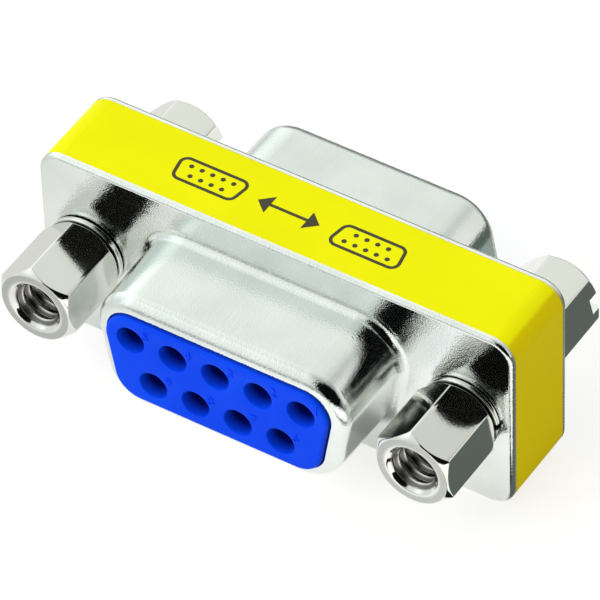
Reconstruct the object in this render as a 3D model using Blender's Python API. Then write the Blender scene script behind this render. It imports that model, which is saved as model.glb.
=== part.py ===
"""Nine-way D connector adapter, socket to socket, in metres.

X runs along the length, the front connector faces -Y and +Z is up. The origin is at
the middle of the underside. Both connectors are modelled once, in the frame of the
front half, and the rear half is the same set turned half a turn about X, so its
narrow side is up and contact 1 is at the same end on both sides.

The contact grid drives the sizes: the D fits round the grid, the screws stand off the
D, and the flange and the spacer follow the D and the screws.
"""

import math

import bmesh
import bpy

MM = 0.001

# Contact grid
CONTACT_PITCH = 2.77 * MM
ROW_PITCH = 2.84 * MM
WIDE_ROW = 5
NARROW_ROW = 4

# Flange and D shell, drawn from one sheet
SHEET = 0.4 * MM
ROW_END_MARGIN = 2.625 * MM
ROW_SIDE_MARGIN = 2.53 * MM
D_CORNER = 2.6 * MM
D_SIDE_ANGLE = math.radians(10)
SHELL_DEPTH = 5.7 * MM
RIM_ROUND = 0.9 * MM
ROOT_ROUND = 0.8 * MM
FLANGE_END_MARGIN = 2.905 * MM
FLANGE_SIDE_MARGIN = 2.35 * MM
FLANGE_CORNER = 1.5 * MM
FLANGE_EDGE_ROUND = 0.25 * MM

# Fixing screws
SCREW_MARGIN = 4.33 * MM
THREAD_DIAMETER = 2.84 * MM
THREAD_ALLOWANCE = 0.05 * MM
FLANGE_HOLE_CLEARANCE = 0.105 * MM
SPACER_HOLE_CLEARANCE = 0.18 * MM
POST_ACROSS_FLATS = 4.6 * MM
POST_LENGTH = 4.8 * MM
POST_END_STEP = 0.15 * MM
POST_CHAMFER_ANGLE = math.radians(30)
BORE_SINK = 0.38 * MM
BORE_END_WALL = 0.9 * MM
STUD_ENGAGEMENT = 2.3 * MM
STUD_TIP_CHAMFER = 0.35 * MM
SLOT_WIDTH = 0.95 * MM
SLOT_DEPTH = 0.8 * MM
SLOT_TURN = math.radians(34)
WASHER_RIM = 0.12 * MM
WASHER_THICKNESS = 0.5 * MM
WASHER_SPLIT = 0.35 * MM
WASHER_LIFT = 0.12 * MM

# How far each screw was turned when it came tight
NUT_TURNS = {"left": math.radians(38), "right": math.radians(41)}
SCREW_TURNS = {"left": math.radians(-44), "right": math.radians(-42)}
WASHER_TURNS = {"left": math.radians(200), "right": math.radians(5)}

# Moulded spacer
SPACER_DEPTH = 4.9 * MM
SPACER_EDGE_ROUND = 0.06 * MM
WINDOW_CORNER = 1.0 * MM
WINDOW_CLEARANCE = 0.12 * MM

# Insulators
FACE_PROUD = 0.3 * MM
FACE_EDGE_ROUND = 0.18 * MM
MOUTH_SINK = 0.25 * MM
MOUTH_DEPTH = 1.1 * MM
THROAT_CLEARANCE = 0.15 * MM
THROAT_DEPTH = 0.25 * MM
COLLAR_MARGIN = 1.3 * MM
BACK_THICKNESS = 0.75 * MM

# Contacts, made for a pin of this diameter
PIN_DIAMETER = 1.0 * MM
PIN_CLEARANCE = 0.025 * MM
BARREL_WALL = 0.225 * MM
BARREL_LEAD = 0.12 * MM
BARREL_SLIT = 0.26 * MM
BARREL_SLIT_LENGTH = 3.6 * MM
BARREL_END_WALL = 1.25 * MM
SHOULDER_STEP = 0.2 * MM
SHOULDER_THICKNESS = 0.35 * MM
TAIL_DIAMETER = 0.6 * MM
TAIL_PROUD = 0.2 * MM

# Circuit board
BOARD_THICKNESS = 1.0 * MM
BOARD_CLEARANCE = 0.1 * MM
BOARD_STANDOFF = 0.325 * MM

# Faces that rest on each other, and turned pieces in their holes
SEAT_GAP = 0.05 * MM
SLIDE_GAP = 0.08 * MM

# Facets
CORNER_STEPS = 6
ARC_STEPS = 3
HOLE_STEPS = 24
SOCKET_STEPS = 12
CONTACT_STEPS = 10
TAIL_HOLE_STEPS = 8
HEX_SIDE_STEPS = 4
WASHER_STEPS = 24
SMOOTH_ANGLE = math.radians(40)
POST_SMOOTH_ANGLE = math.radians(25)

# Sizes that follow
D_WIDTH = (WIDE_ROW - 1) * CONTACT_PITCH + 2 * ROW_END_MARGIN
D_HEIGHT = ROW_PITCH + 2 * ROW_SIDE_MARGIN
SCREW_X = D_WIDTH / 2 + SCREW_MARGIN
FLANGE_LENGTH = 2 * (SCREW_X + FLANGE_END_MARGIN)
FLANGE_HEIGHT = D_HEIGHT + 2 * FLANGE_SIDE_MARGIN
WINDOW_LENGTH = D_WIDTH + 2 * (COLLAR_MARGIN + WINDOW_CLEARANCE)
WINDOW_HEIGHT = D_HEIGHT + 2 * (COLLAR_MARGIN + WINDOW_CLEARANCE)
BARREL_BORE = PIN_DIAMETER / 2 + PIN_CLEARANCE
BARREL_RADIUS = BARREL_BORE + BARREL_WALL
SHOULDER_RADIUS = BARREL_RADIUS + SHOULDER_STEP
TAIL_RADIUS = TAIL_DIAMETER / 2
TAIL_HOLE_RADIUS = TAIL_RADIUS + SLIDE_GAP
THROAT_RADIUS = PIN_DIAMETER / 2 + THROAT_CLEARANCE
MOUTH_RADIUS = THROAT_RADIUS + MOUTH_SINK
STUD_RADIUS = THREAD_DIAMETER / 2 - THREAD_ALLOWANCE
BORE_RADIUS = THREAD_DIAMETER / 2 + THREAD_ALLOWANCE
BORE_MOUTH_RADIUS = BORE_RADIUS + BORE_SINK
FLANGE_HOLE_RADIUS = THREAD_DIAMETER / 2 + FLANGE_HOLE_CLEARANCE
SPACER_HOLE_RADIUS = THREAD_DIAMETER / 2 + SPACER_HOLE_CLEARANCE
POST_END_RADIUS = POST_ACROSS_FLATS / 2 - POST_END_STEP
POST_STEPS = 6 * HEX_SIDE_STEPS
WASHER_RADIUS = POST_ACROSS_FLATS / 2 + WASHER_RIM

# Places that follow, along Y from the middle of the adapter, for the front half
BODY_DEPTH = 2 * SHEET + 2 * SEAT_GAP + SPACER_DEPTH
FLANGE_FACE = -BODY_DEPTH / 2
FLANGE_BACK = FLANGE_FACE + SHEET
SHELL_RIM = FLANGE_FACE - SHELL_DEPTH
FACE = SHELL_RIM - FACE_PROUD
COLLAR_FRONT = FLANGE_BACK + SEAT_GAP
BOARD_FRONT = -BOARD_THICKNESS / 2
BACK_REAR = BOARD_FRONT - BOARD_STANDOFF
BACK_FRONT = BACK_REAR - BACK_THICKNESS
COLLAR_BACK = BACK_FRONT - SEAT_GAP
BARREL_FRONT = FACE + MOUTH_DEPTH + THROAT_DEPTH + SEAT_GAP
TAIL_END = BOARD_THICKNESS / 2 + TAIL_PROUD
SCREW_SEAT = FLANGE_FACE - SEAT_GAP
NUT_SEAT = SCREW_SEAT - WASHER_THICKNESS - WASHER_LIFT - SEAT_GAP
STUD_LENGTH = -SCREW_SEAT - NUT_SEAT + STUD_ENGAGEMENT

# How far in from the shell's outside each part of the insulator lies
NOSE_INSET = RIM_ROUND + SEAT_GAP
BODY_INSET = SHEET + SEAT_GAP
COLLAR_INSET = -COLLAR_MARGIN


def clear_scene():
    for obj in list(bpy.data.objects):
        bpy.data.objects.remove(obj, do_unlink=True)


def material(name, color, roughness, metallic):
    made = bpy.data.materials.new(name)
    made.use_nodes = True
    shader = made.node_tree.nodes["Principled BSDF"]
    shader.inputs["Base Color"].default_value = (*color, 1.0)
    shader.inputs["Roughness"].default_value = roughness
    shader.inputs["Metallic"].default_value = metallic
    return made


def arc(centre_x, centre_z, radius, start, end, steps):
    """Points along an arc, both ends included, angles in radians."""
    points = []
    for step in range(steps + 1):
        angle = start + (end - start) * step / steps
        points.append((centre_x + radius * math.cos(angle), centre_z + radius * math.sin(angle)))
    return points


def circle(centre_x, centre_z, radius, steps, phase=0.0):
    return arc(centre_x, centre_z, radius, phase, phase + 2 * math.pi, steps)[:-1]


def d_outline(inset):
    """The D, wide side up, drawn in from the shell's outer surface by the inset.

    Each corner keeps its centre at every inset, so the outlines match point for point.
    """
    radius = D_CORNER - inset
    high = D_HEIGHT / 2 - D_CORNER
    top_x = D_WIDTH / 2 - D_CORNER
    bottom_x = top_x - 2 * high * math.tan(D_SIDE_ANGLE)
    quarter = math.pi / 2
    points = arc(top_x, high, radius, -D_SIDE_ANGLE, quarter, CORNER_STEPS)
    points += arc(-top_x, high, radius, quarter, math.pi + D_SIDE_ANGLE, CORNER_STEPS)
    points += arc(-bottom_x, -high, radius, math.pi + D_SIDE_ANGLE, 3 * quarter, CORNER_STEPS)
    points += arc(bottom_x, -high, radius, 3 * quarter, 2 * math.pi - D_SIDE_ANGLE, CORNER_STEPS)
    return points


def rectangle_outline(length, height, corner, inset=0.0, steps=CORNER_STEPS):
    """A rectangle with round corners, drawn in by the inset."""
    radius = corner - inset
    x = length / 2 - corner
    z = height / 2 - corner
    quarter = math.pi / 2
    points = []
    for index, (side_x, side_z) in enumerate(((1, 1), (-1, 1), (-1, -1), (1, -1))):
        points += arc(side_x * x, side_z * z, radius, index * quarter, (index + 1) * quarter, steps)
    return points


def edge_round(radius, inset, y):
    """A quarter round as (inset, y) points, from the face at y back to the side."""
    points = []
    for step in range(ARC_STEPS + 1):
        angle = math.pi / 2 * step / ARC_STEPS
        points.append((inset + radius * (1 - math.sin(angle)), y + radius * (1 - math.cos(angle))))
    return points


def contact_places():
    """Centre of each contact, 1 to 9, in the front half's frame: 1 to 5 in the wide row."""
    places = []
    for count, z in ((WIDE_ROW, ROW_PITCH / 2), (NARROW_ROW, -ROW_PITCH / 2)):
        for index in range(count):
            places.append((((count - 1) / 2 - index) * CONTACT_PITCH, z))
    return places


def add_ring(bm, outline, y):
    return [bm.verts.new((x, y, z)) for x, z in outline]


def add_loft(bm, rings):
    """Faces between each ring and the next. Rings hold the same number of points."""
    for first, second in zip(rings, rings[1:]):
        for index in range(len(first)):
            after = (index + 1) % len(first)
            bm.faces.new((first[index], first[after], second[after], second[index]))


def add_flat(bm, rings):
    """A flat face with holes: the first ring is its outline and the rest are the holes."""
    edges = []
    for ring in rings:
        for index in range(len(ring)):
            pair = (ring[index - 1], ring[index])
            edges.append(bm.edges.get(pair) or bm.edges.new(pair))
    bmesh.ops.triangle_fill(bm, use_beauty=True, use_dissolve=False, edges=edges)


def add_sockets(bm, profile, steps):
    """A stepped hole from (radius, y) points at each contact. Gives their two end rings."""
    firsts = []
    lasts = []
    for x, z in contact_places():
        rings = [add_ring(bm, circle(x, z, radius, steps), y) for radius, y in profile]
        add_loft(bm, rings)
        firsts.append(rings[0])
        lasts.append(rings[-1])
    return firsts, lasts


def shade(mesh, angle):
    """Smooth shading across edges flatter than the angle."""
    mesh.shade_smooth()
    mesh.set_sharp_from_angle(angle=angle)


def finished_mesh(bm, name, angle=SMOOTH_ANGLE):
    """The mesh with its faces turned out."""
    bmesh.ops.recalc_face_normals(bm, faces=bm.faces)
    mesh = bpy.data.meshes.new(name)
    bm.to_mesh(mesh)
    bm.free()
    shade(mesh, angle)
    return mesh


def place(name, mesh, look, parent, at=(0.0, 0.0, 0.0), turn=0.0):
    """A named object under its half, turned about its own Y axis."""
    obj = bpy.data.objects.new(name, mesh)
    if not mesh.materials:
        mesh.materials.append(look)
    bpy.context.scene.collection.objects.link(obj)
    obj.parent = parent
    obj.location = at
    obj.rotation_euler = (0.0, turn, 0.0)
    return obj


def cut_mesh(mesh, cutter_mesh, angle=SMOOTH_ANGLE):
    """The mesh with the cutter taken away, as a new mesh that copies can share."""
    body = bpy.data.objects.new("body", mesh)
    cutter = bpy.data.objects.new("cutter", cutter_mesh)
    for obj in (body, cutter):
        bpy.context.scene.collection.objects.link(obj)
    cutter.hide_render = True
    cutter.display_type = "WIRE"
    cut = body.modifiers.new("cut", "BOOLEAN")
    cut.operation = "DIFFERENCE"
    cut.solver = "EXACT"
    cut.object = cutter
    bpy.context.view_layer.update()
    evaluated = body.evaluated_get(bpy.context.evaluated_depsgraph_get())
    result = bpy.data.meshes.new_from_object(evaluated)
    result.name = mesh.name + "_cut"
    for obj in (body, cutter):
        bpy.data.objects.remove(obj, do_unlink=True)
    shade(result, angle)
    return result


def box_mesh(name, low, high):
    bm = bmesh.new()
    bmesh.ops.create_cube(bm, size=1.0)
    for vert in bm.verts:
        vert.co = [low[i] + (vert.co[i] + 0.5) * (high[i] - low[i]) for i in range(3)]
    return finished_mesh(bm, name)


def shell_profile():
    """The drawn wall's section as (inset, y), down its outside and back up its inside.

    Both bends keep one centre for the two surfaces, so the sheet has one thickness.
    """
    quarter = math.pi / 2
    root = FLANGE_FACE - ROOT_ROUND
    rim = SHELL_RIM + RIM_ROUND
    points = arc(-ROOT_ROUND, root, ROOT_ROUND, quarter, 0.0, ARC_STEPS)
    points += arc(RIM_ROUND, rim, RIM_ROUND, 2 * quarter, 3 * quarter, ARC_STEPS)
    points += arc(RIM_ROUND, rim, RIM_ROUND - SHEET, 3 * quarter, 2 * quarter, ARC_STEPS)
    points += arc(-ROOT_ROUND, root, ROOT_ROUND + SHEET, 0.0, quarter, ARC_STEPS)
    return points


def shell_mesh():
    """Flange and D shell. The die left the flange's front edge round and its back square."""
    bm = bmesh.new()
    wall = [add_ring(bm, d_outline(inset), y) for inset, y in shell_profile()]
    add_loft(bm, wall)
    edge = []
    for inset, y in edge_round(FLANGE_EDGE_ROUND, 0.0, FLANGE_FACE) + [(0.0, FLANGE_BACK)]:
        outline = rectangle_outline(FLANGE_LENGTH, FLANGE_HEIGHT, FLANGE_CORNER, inset)
        edge.append(add_ring(bm, outline, y))
    add_loft(bm, edge)
    fronts = []
    backs = []
    for side in (-1, 1):
        hole = circle(side * SCREW_X, 0.0, FLANGE_HOLE_RADIUS, HOLE_STEPS)
        fronts.append(add_ring(bm, hole, FLANGE_FACE))
        backs.append(add_ring(bm, hole, FLANGE_BACK))
        add_loft(bm, [fronts[-1], backs[-1]])
    add_flat(bm, [edge[0], wall[0]] + fronts)
    add_flat(bm, [edge[-1], wall[-1]] + backs)
    return finished_mesh(bm, "shell")


def insulator_mesh():
    """Blue moulding: a nose through the rim, a body in the shell, a collar behind the flange."""
    bm = bmesh.new()
    steps = edge_round(FACE_EDGE_ROUND, NOSE_INSET, FACE) + [
        (NOSE_INSET, SHELL_RIM + SHEET + SEAT_GAP),
        (BODY_INSET, SHELL_RIM + RIM_ROUND),
        (BODY_INSET, COLLAR_FRONT),
        (COLLAR_INSET, COLLAR_FRONT),
        (COLLAR_INSET, COLLAR_BACK),
    ]
    outside = [add_ring(bm, d_outline(inset), y) for inset, y in steps]
    add_loft(bm, outside)
    cavity = BARREL_RADIUS + SLIDE_GAP
    socket = [
        (MOUTH_RADIUS, FACE),
        (THROAT_RADIUS, FACE + MOUTH_DEPTH),
        (THROAT_RADIUS, FACE + MOUTH_DEPTH + THROAT_DEPTH),
        (cavity, FACE + MOUTH_DEPTH + THROAT_DEPTH),
        (cavity, COLLAR_BACK),
    ]
    mouths, ends = add_sockets(bm, socket, SOCKET_STEPS)
    add_flat(bm, [outside[0]] + mouths)
    add_flat(bm, [outside[-1]] + ends)
    return finished_mesh(bm, "insulator")


def insulator_back_mesh():
    """Plate that traps the contacts' shoulders in its counterbores."""
    bm = bmesh.new()
    outside = [add_ring(bm, d_outline(COLLAR_INSET), y) for y in (BACK_FRONT, BACK_REAR)]
    add_loft(bm, outside)
    counterbore = SHOULDER_RADIUS + SLIDE_GAP
    step = BACK_FRONT + SHOULDER_THICKNESS + SEAT_GAP
    socket = [
        (counterbore, BACK_FRONT),
        (counterbore, step),
        (TAIL_HOLE_RADIUS, step),
        (TAIL_HOLE_RADIUS, BACK_REAR),
    ]
    fronts, backs = add_sockets(bm, socket, CONTACT_STEPS)
    add_flat(bm, [outside[0]] + fronts)
    add_flat(bm, [outside[-1]] + backs)
    return finished_mesh(bm, "insulator_back")


def turned_mesh(name, profile, steps, phase=0.0):
    """A solid turned about Y from (radius, y) points, which start and end on the axis."""
    bm = bmesh.new()
    rings = [add_ring(bm, circle(0.0, 0.0, radius, steps, phase), y) for radius, y in profile[1:-1]]
    add_loft(bm, rings)
    for ring, (_, y) in ((rings[0], profile[0]), (rings[-1], profile[-1])):
        tip = bm.verts.new((0.0, y, 0.0))
        for index in range(len(ring)):
            bm.faces.new((ring[index - 1], ring[index], tip))
    return finished_mesh(bm, name)


def contact_mesh():
    """Turned socket contact: slit barrel, trapped shoulder and solder tail."""
    bore_end = BACK_FRONT - BARREL_END_WALL
    shoulder_back = BACK_FRONT + SHOULDER_THICKNESS
    profile = [
        (0.0, bore_end),
        (BARREL_BORE, bore_end),
        (BARREL_BORE, BARREL_FRONT + BARREL_LEAD),
        (BARREL_RADIUS - BARREL_LEAD, BARREL_FRONT),
        (BARREL_RADIUS, BARREL_FRONT + BARREL_LEAD),
        (BARREL_RADIUS, BACK_FRONT),
        (SHOULDER_RADIUS, BACK_FRONT),
        (SHOULDER_RADIUS, shoulder_back),
        (TAIL_RADIUS, shoulder_back),
        (TAIL_RADIUS, TAIL_END),
        (0.0, TAIL_END),
    ]
    turned = turned_mesh("contact", profile, CONTACT_STEPS, math.pi / CONTACT_STEPS)
    low = (-2 * BARREL_RADIUS, BARREL_FRONT - BARREL_LEAD, -BARREL_SLIT / 2)
    high = (2 * BARREL_RADIUS, BARREL_FRONT + BARREL_SLIT_LENGTH, BARREL_SLIT / 2)
    return cut_mesh(turned, box_mesh("slit", low, high))


def spacer_mesh():
    """Yellow moulded band, flush with the flanges, with its window and screw holes."""
    bm = bmesh.new()
    half = SPACER_DEPTH / 2
    outside = []
    for inset, y in (
        (SPACER_EDGE_ROUND, -half),
        (0.0, -half + SPACER_EDGE_ROUND),
        (0.0, half - SPACER_EDGE_ROUND),
        (SPACER_EDGE_ROUND, half),
    ):
        outline = rectangle_outline(FLANGE_LENGTH, FLANGE_HEIGHT, FLANGE_CORNER, inset)
        outside.append(add_ring(bm, outline, y))
    add_loft(bm, outside)
    openings = [rectangle_outline(WINDOW_LENGTH, WINDOW_HEIGHT, WINDOW_CORNER, 0.0, ARC_STEPS)]
    for side in (-1, 1):
        openings.append(circle(side * SCREW_X, 0.0, SPACER_HOLE_RADIUS, HOLE_STEPS))
    fronts = [add_ring(bm, outline, -half) for outline in openings]
    backs = [add_ring(bm, outline, half) for outline in openings]
    for front, back in zip(fronts, backs):
        add_loft(bm, [front, back])
    add_flat(bm, [outside[0]] + fronts)
    add_flat(bm, [outside[-1]] + backs)
    return finished_mesh(bm, "spacer")


def board_mesh():
    """Board with a hole for each tail of both halves: the rows mirror each other."""
    bm = bmesh.new()
    length = WINDOW_LENGTH - 2 * BOARD_CLEARANCE
    height = WINDOW_HEIGHT - 2 * BOARD_CLEARANCE
    corner = WINDOW_CORNER - BOARD_CLEARANCE
    outline = rectangle_outline(length, height, corner, 0.0, ARC_STEPS)
    outside = [add_ring(bm, outline, y) for y in (BOARD_FRONT, -BOARD_FRONT)]
    add_loft(bm, outside)
    fronts = []
    backs = []
    for x, z in contact_places():
        for row in (z, -z):
            hole = circle(x, row, TAIL_HOLE_RADIUS, TAIL_HOLE_STEPS)
            fronts.append(add_ring(bm, hole, BOARD_FRONT))
            backs.append(add_ring(bm, hole, -BOARD_FRONT))
            add_loft(bm, [fronts[-1], backs[-1]])
    add_flat(bm, [outside[0]] + fronts)
    add_flat(bm, [outside[-1]] + backs)
    return finished_mesh(bm, "board")


def round_ring(bm, radius, y):
    """A ring that matches the hexagon's rings point for point."""
    return add_ring(bm, circle(0.0, 0.0, radius, POST_STEPS), y)


def hexagon_ring(bm, end_y, direction):
    """Where a hexagonal bar meets its chamfer cone: a curve that dips over each flat."""
    ring = []
    for index in range(POST_STEPS):
        across = (index % HEX_SIDE_STEPS) / HEX_SIDE_STEPS * math.pi / 3 - math.pi / 6
        radius = POST_ACROSS_FLATS / 2 / math.cos(across)
        angle = index / POST_STEPS * 2 * math.pi
        fall = (radius - POST_END_RADIUS) * math.tan(POST_CHAMFER_ANGLE)
        y = end_y - direction * fall
        ring.append(bm.verts.new((radius * math.cos(angle), y, radius * math.sin(angle))))
    return ring


def post_rings(bm):
    """Outside of a hexagonal post from its seat at y = 0 to its end at y = -POST_LENGTH."""
    return [
        round_ring(bm, POST_END_RADIUS, 0.0),
        hexagon_ring(bm, 0.0, 1),
        hexagon_ring(bm, -POST_LENGTH, -1),
        round_ring(bm, POST_END_RADIUS, -POST_LENGTH),
    ]


def jack_nut_mesh():
    """Hexagonal post bored through, countersunk at both ends."""
    bm = bmesh.new()
    outside = post_rings(bm)
    inside = [
        round_ring(bm, BORE_MOUTH_RADIUS, -POST_LENGTH),
        round_ring(bm, BORE_RADIUS, -POST_LENGTH + BORE_SINK),
        round_ring(bm, BORE_RADIUS, -BORE_SINK),
        round_ring(bm, BORE_MOUTH_RADIUS, 0.0),
    ]
    add_loft(bm, outside + inside + outside[:1])
    return finished_mesh(bm, "jack_nut", POST_SMOOTH_ANGLE)


def jack_screw_mesh():
    """Hexagonal post with a stud behind, a blind threaded bore and a screwdriver slot."""
    bm = bmesh.new()
    stud = [
        round_ring(bm, STUD_RADIUS - STUD_TIP_CHAMFER, STUD_LENGTH),
        round_ring(bm, STUD_RADIUS, STUD_LENGTH - STUD_TIP_CHAMFER),
        round_ring(bm, STUD_RADIUS, 0.0),
    ]
    outside = post_rings(bm)
    inside = [
        round_ring(bm, BORE_MOUTH_RADIUS, -POST_LENGTH),
        round_ring(bm, BORE_RADIUS, -POST_LENGTH + BORE_SINK),
        round_ring(bm, BORE_RADIUS, -BORE_END_WALL),
    ]
    add_loft(bm, stud + outside + inside)
    bm.faces.new(stud[0])
    bm.faces.new(inside[-1])
    body = finished_mesh(bm, "jack_screw", POST_SMOOTH_ANGLE)
    low = (-POST_ACROSS_FLATS, -POST_LENGTH - SLOT_DEPTH, -SLOT_WIDTH / 2)
    high = (POST_ACROSS_FLATS, -POST_LENGTH + SLOT_DEPTH, SLOT_WIDTH / 2)
    slot = box_mesh("slot", low, high)
    turn_mesh(slot, SLOT_TURN)
    return cut_mesh(body, slot, POST_SMOOTH_ANGLE)


def turn_mesh(mesh, angle):
    """Turns the mesh about Y, from +X towards +Z."""
    for vert in mesh.vertices:
        x, y, z = vert.co
        turned_x = x * math.cos(angle) - z * math.sin(angle)
        turned_z = x * math.sin(angle) + z * math.cos(angle)
        vert.co = (turned_x, y, turned_z)


def washer_mesh():
    """Split spring washer: a square section swept almost once round, lifting as it goes."""
    bm = bmesh.new()
    half_split = math.asin(WASHER_SPLIT / 2 / WASHER_RADIUS)
    sections = []
    for step in range(WASHER_STEPS + 1):
        share = step / WASHER_STEPS
        angle = half_split + (2 * math.pi - 2 * half_split) * share
        lift = -WASHER_LIFT * share
        section = []
        for radius, y in (
            (FLANGE_HOLE_RADIUS, lift),
            (WASHER_RADIUS, lift),
            (WASHER_RADIUS, lift - WASHER_THICKNESS),
            (FLANGE_HOLE_RADIUS, lift - WASHER_THICKNESS),
        ):
            section.append(bm.verts.new((radius * math.cos(angle), y, radius * math.sin(angle))))
        sections.append(section)
    add_loft(bm, sections)
    bm.faces.new(sections[0])
    bm.faces.new(sections[-1])
    return finished_mesh(bm, "lock_washer")


def empty(name, turn):
    obj = bpy.data.objects.new(name, None)
    bpy.context.scene.collection.objects.link(obj)
    obj.location = (0.0, 0.0, FLANGE_HEIGHT / 2)
    obj.rotation_euler = (turn, 0.0, 0.0)
    return obj


def build_connectors(halves, plated, blue, gilt):
    """Shell, insulator, back plate and nine contacts for each half."""
    shell = shell_mesh()
    insulator = insulator_mesh()
    insulator_back = insulator_back_mesh()
    contact = contact_mesh()
    for side, half in halves.items():
        place(f"{side}_shell", shell, plated, half)
        place(f"{side}_insulator", insulator, blue, half)
        place(f"{side}_insulator_back", insulator_back, blue, half)
        for number, (x, z) in enumerate(contact_places(), 1):
            place(f"{side}_contact_{number}", contact, gilt, half, (x, 0.0, z))


def build_fixings(halves, nickel):
    """At each end, a slotted jack screw from the rear into a jack nut on a spring washer."""
    nut = jack_nut_mesh()
    screw = jack_screw_mesh()
    washer = washer_mesh()
    front = halves["front"]
    rear = halves["rear"]
    for side, x in (("left", -SCREW_X), ("right", SCREW_X)):
        seat = (x, SCREW_SEAT, 0.0)
        nut_seat = (x, NUT_SEAT, 0.0)
        place(f"front_{side}_lock_washer", washer, nickel, front, seat, -WASHER_TURNS[side])
        place(f"front_{side}_jack_nut", nut, nickel, front, nut_seat, -NUT_TURNS[side])
        place(f"rear_{side}_jack_screw", screw, nickel, rear, seat, -SCREW_TURNS[side])


def build():
    clear_scene()
    plated = material("plated_steel", (0.72, 0.73, 0.70), 0.28, 1.0)
    nickel = material("bright_nickel", (0.74, 0.73, 0.69), 0.14, 1.0)
    gilt = material("gilt_contact", (0.80, 0.58, 0.25), 0.25, 1.0)
    blue = material("blue_moulding", (0.01, 0.10, 0.95), 0.42, 0.0)
    yellow = material("yellow_moulding", (0.86, 0.84, 0.01), 0.40, 0.0)
    green = material("green_board", (0.03, 0.22, 0.08), 0.45, 0.0)
    halves = {"front": empty("front_half", 0.0), "rear": empty("rear_half", math.pi)}
    build_connectors(halves, plated, blue, gilt)
    place("spacer", spacer_mesh(), yellow, halves["front"])
    place("circuit_board", board_mesh(), green, halves["front"])
    build_fixings(halves, nickel)


build()
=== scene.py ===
"""Looks of the nine-way D connector adapter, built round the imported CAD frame, in metres.

Meshes are made in the frame of the front half: X along the flange, the connector faces
-Y, +Z is up and the origin is at the middle of the adapter. The rear half is the same
set turned half a turn about X. The sizes below repeat the ones of the CAD source, but
for the posts, washers, bends, sockets and the spacer's depth, which follow the photograph
more closely.
"""

import math

import bmesh
import bpy
from mathutils import Matrix, Vector


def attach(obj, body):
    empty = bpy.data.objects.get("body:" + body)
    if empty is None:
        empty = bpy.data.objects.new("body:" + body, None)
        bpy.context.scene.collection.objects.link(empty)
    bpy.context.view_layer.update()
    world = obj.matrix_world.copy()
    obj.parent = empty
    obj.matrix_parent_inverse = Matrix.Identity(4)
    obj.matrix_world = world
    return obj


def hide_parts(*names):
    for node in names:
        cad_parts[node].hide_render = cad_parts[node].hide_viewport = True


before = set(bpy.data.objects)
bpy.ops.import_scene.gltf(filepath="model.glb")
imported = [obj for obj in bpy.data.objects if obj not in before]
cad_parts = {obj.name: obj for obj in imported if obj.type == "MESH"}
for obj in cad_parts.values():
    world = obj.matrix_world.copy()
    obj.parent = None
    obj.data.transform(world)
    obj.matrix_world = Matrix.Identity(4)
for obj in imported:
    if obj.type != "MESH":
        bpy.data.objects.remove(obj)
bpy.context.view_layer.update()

MM = 0.001
QUARTER = math.pi / 2

# Contact grid
CONTACT_PITCH = 2.77 * MM
ROW_PITCH = 2.84 * MM
WIDE_ROW = 5
NARROW_ROW = 4

# Flange and D shell
SHEET = 0.4 * MM
D_WIDTH = 16.33 * MM
D_HEIGHT = 7.9 * MM
D_CORNER = 2.6 * MM
D_SIDE_ANGLE = math.radians(10)
SHELL_DEPTH = 5.7 * MM
RIM_ROUND = 0.9 * MM
ROOT_ROUND = 0.6 * MM
WALL_DRAFT = 0.1 * MM
LIP_ROUND = 0.08 * MM
FLANGE_LENGTH = 30.8 * MM
FLANGE_HEIGHT = 12.6 * MM
FLANGE_CORNER = 1.5 * MM
FLANGE_EDGE_ROUND = 0.25 * MM
FLANGE_HOLE_RADIUS = 1.525 * MM

# Spacer
SPACER_DEPTH = 4.99 * MM
SPACER_FRONT_ROUND = 0.07 * MM
SPACER_BACK_ROUND = 0.015 * MM
SPACER_HOLE_RADIUS = 1.6 * MM
WINDOW_LENGTH = 19.17 * MM
WINDOW_HEIGHT = 10.74 * MM
WINDOW_CORNER = 1.0 * MM

# Insulators
FACE_PROUD = 0.3 * MM
FACE_EDGE_ROUND = 0.18 * MM
MOUTH_RADIUS = 0.9 * MM
MOUTH_EDGE_ROUND = 0.06 * MM
MOUTH_DEPTH = 0.85 * MM
THROAT_RADIUS = 0.65 * MM
THROAT_DEPTH = 0.5 * MM
CAVITY_RADIUS = 0.83 * MM
COLLAR_MARGIN = 1.3 * MM
# Depths below the face over which painted shade darkens the sockets
SOCKET_SHADE_DEPTHS = (0.04 * MM, 0.75 * MM)
NUMBER_HEIGHT = 0.68 * MM
FONT_PER_HEIGHT = 1.35
NUMBER_PROUD = 0.055 * MM
NUMBER_OFFSET = (1.02 * MM, 0.8 * MM)

# Contacts
BARREL_BORE = 0.525 * MM
BARREL_RADIUS = 0.75 * MM
BARREL_LEAD = 0.12 * MM
BARREL_SLIT = 0.26 * MM
BARREL_SLIT_LENGTH = 3.6 * MM
BARREL_END_WALL = 1.25 * MM
SHOULDER_RADIUS = 0.95 * MM
SHOULDER_THICKNESS = 0.35 * MM
TAIL_RADIUS = 0.3 * MM

# Posts, studs and washers
SCREW_X = 12.3 * MM
POSTS_ASIDE = {"front": -0.05 * MM, "rear": -0.18 * MM}
POST_APOTHEM = 2.3 * MM
POST_CORNER_ROUND = 0.13 * MM
POST_END_RADIUS = 2.235 * MM
POST_EDGE_SOFT = 0.02 * MM
BORE_EDGE_SOFT = 0.03 * MM
NUT_LENGTH = 4.93 * MM
SCREW_LENGTH = 5.12 * MM
CHAMFER_SLOPE = math.tan(math.radians(45))
BORE_RADIUS = 1.47 * MM
BORE_MOUTH_RADIUS = 1.69 * MM
BORE_SINK_SLOPE = 1.0
THREAD_PITCH = 0.635 * MM
THREAD_ROOT = 1.45 * MM
THREAD_CREST = 1.2 * MM
THREAD_ROOT_SHARE = 0.16
THREAD_FLANK_SHARE = 0.66
NUT_THREAD_DEPTH = 2.4 * MM
SCREW_THREAD_DEPTH = 3.3 * MM
SCREW_BORE_DEPTH = 3.9 * MM
STUD_CREST = 1.37 * MM
STUD_ROOT = 1.08 * MM
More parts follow.
